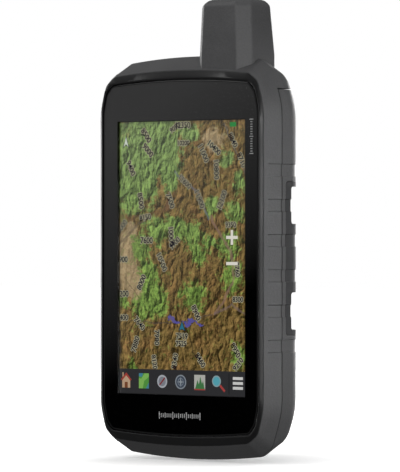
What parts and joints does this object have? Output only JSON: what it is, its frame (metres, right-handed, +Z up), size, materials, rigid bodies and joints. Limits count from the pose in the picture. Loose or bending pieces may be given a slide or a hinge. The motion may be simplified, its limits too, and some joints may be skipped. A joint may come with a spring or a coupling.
{
  "type": "handheld GPS unit",
  "caption": "Rugged handheld satellite navigator with a tall touch display, stub antenna, grip bands, cradle notches and a removable battery door with D-ring locks.",
  "frame": {"origin": "centre of the bottom face of the bounding box, on the lowest point of the body", "axes": "+Z up towards the antenna, -Y out of the display, +X to the right of someone facing the display"},
  "size_m": [0.088, 0.033, 0.1812],
  "materials": {
    "housing_grey": "fine moulded texture, satin",
    "bezel_black": "satin black",
    "rail_grey": "dark, slightly coarser moulded texture",
    "cover_glass": "polished, dark border printed underneath",
    "display": "lit colour picture",
    "rubber": "matt",
    "circuit_board": "solder mask",
    "shield_tin": "tin plated",
    "magnesium": "cast",
    "steel": "satin",
    "black_plastic": "matt",
    "battery_wrap": "printed sleeve",
    "ceramic": "fired, unglazed"
  },
  "bodies": {
    "body": {"front_housing": "housing_grey", "rear_housing": "housing_grey", "mount_rail_left": "rail_grey", "mount_rail_right": "rail_grey", "front_bezel": "bezel_black", "touch_glass": "cover_glass", "glass_seal": "rubber", "display_module": "display", "backlight_tray": "shield_tin", "mid_frame": "magnesium", "main_board": "circuit_board", "processor_shield": "shield_tin", "receiver_shield": "shield_tin", "charger_shield": "shield_tin", "antenna_element": "ceramic", "antenna_board": "circuit_board", "speaker": "black_plastic", "battery_pack": "battery_wrap", "battery_contacts": "black_plastic", "card_reader": "steel", "memory_card": "black_plastic", "power_switch": "black_plastic", "data_port": "shield_tin", "housing_seal": "rubber", "battery_door_seal": "rubber", "housing_screw_1": "steel", "housing_screw_2": "steel", "housing_screw_3": "steel", "housing_screw_4": "steel"},
    "door": {"battery_door": "housing_grey"},
    "lock_top": {"lock_stud_top": "steel"},
    "lock_bottom": {"lock_stud_bottom": "steel"},
    "ring_top": {"lock_ring_top": "steel"},
    "ring_bottom": {"lock_ring_bottom": "steel"},
    "key": {"power_key": "black_plastic"},
    "plunger": {"power_switch_plunger": "steel"},
    "port_cap": {"data_port_cap": "rubber"}
  },
  "joints": [
    {"name": "door_lift", "type": "slide", "parent": "body", "child": "door", "axis": [0, 1, 0], "range_m": [0, 0.03]},
    {"name": "lock_top_turn", "type": "hinge", "parent": "door", "child": "lock_top", "pos_m": [0, 0.0153, 0.1329], "axis": [0, 1, 0], "range_deg": [0, 90]},
    {"name": "lock_bottom_turn", "type": "hinge", "parent": "door", "child": "lock_bottom", "pos_m": [0, 0.0153, 0.0265], "axis": [0, 1, 0], "range_deg": [0, 90]},
    {"name": "ring_top_fold", "type": "hinge", "parent": "lock_top", "child": "ring_top", "pos_m": [0, 0.0153, 0.1329], "axis": [1, 0, 0], "range_deg": [0, 100]},
    {"name": "ring_bottom_fold", "type": "hinge", "parent": "lock_bottom", "child": "ring_bottom", "pos_m": [0, 0.0153, 0.0265], "axis": [1, 0, 0], "range_deg": [0, 100]},
    {"name": "power_key_press", "type": "slide", "parent": "body", "child": "key", "axis": [0.9772, 0.2124, 0], "range_m": [0, 0.0004], "stiffness_N_per_m": 1500},
    {"name": "switch_plunger_press", "type": "slide", "parent": "body", "child": "plunger", "axis": [0.9772, 0.2124, 0], "range_m": [0, 0.0004]},
    {"name": "port_cap_open", "type": "hinge", "parent": "body", "child": "port_cap", "pos_m": [-0.04393, -0.00731, 0.0322], "axis": [0, 0, -1], "range_deg": [0, 110]}
  ],
  "couplings": [
    {"joint": "switch_plunger_press", "follows": "power_key_press", "ratio": 1}
  ]
}
